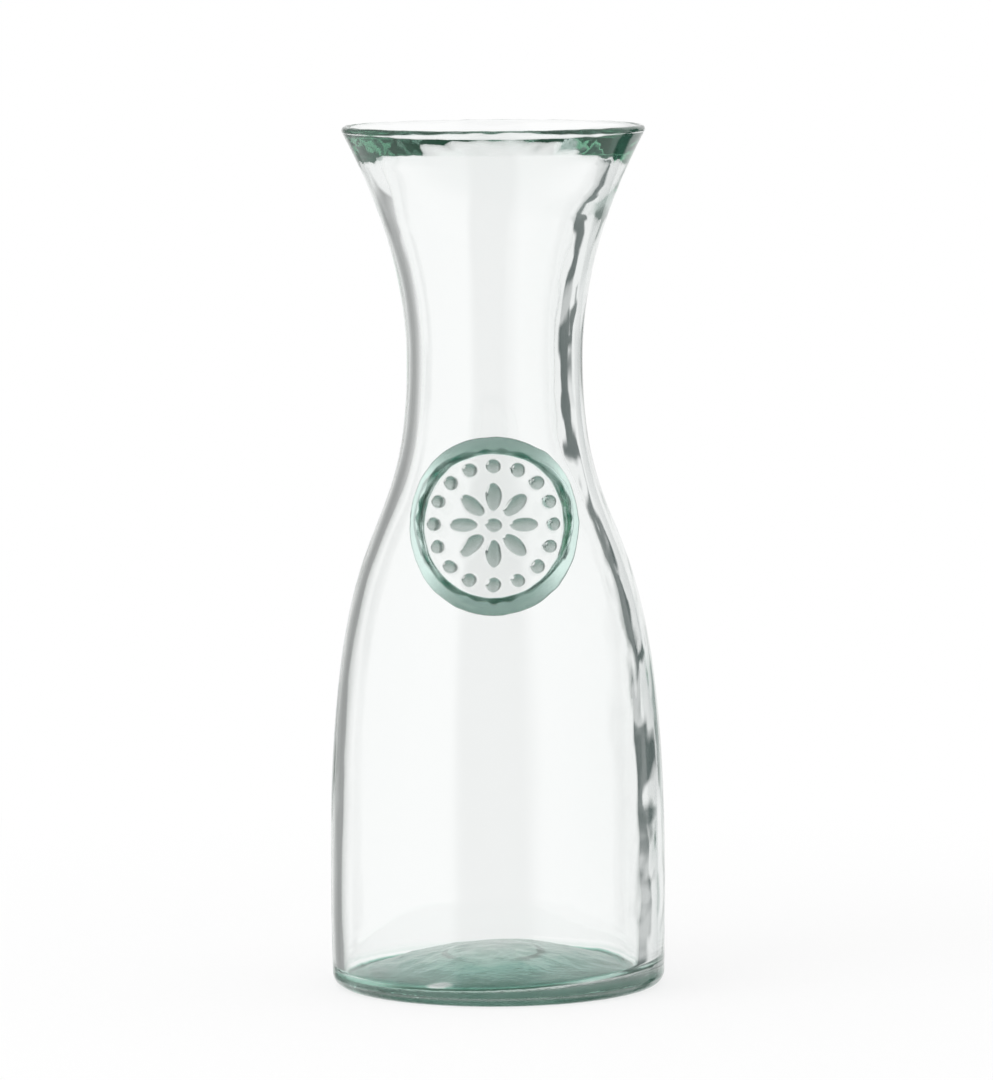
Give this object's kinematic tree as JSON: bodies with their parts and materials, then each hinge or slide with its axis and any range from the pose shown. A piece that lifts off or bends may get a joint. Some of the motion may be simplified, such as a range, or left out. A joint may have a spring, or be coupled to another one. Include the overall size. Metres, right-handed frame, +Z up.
{
  "type": "glass carafe",
  "caption": "Waisted carafe of thick pale green recycled glass with a flared mouth, a domed base and a round stamped glass seal on the shoulder, for serving drinks.",
  "frame": {"origin": "centre of the foot, on the plane of the ring that the carafe stands on", "axes": "+Z up through the mouth, along the axis of revolution; -Y is the front, where the seal is"},
  "size_m": [0.1032, 0.1032, 0.265],
  "materials": {
    "glass": "fire-polished, nearly clear with a faint green tint",
    "seal_glass": "fire-polished, stamped, a deeper green where it is thick"
  },
  "bodies": {
    "root": {"carafe_body": "glass", "seal": "seal_glass"}
  },
  "joints": []
}
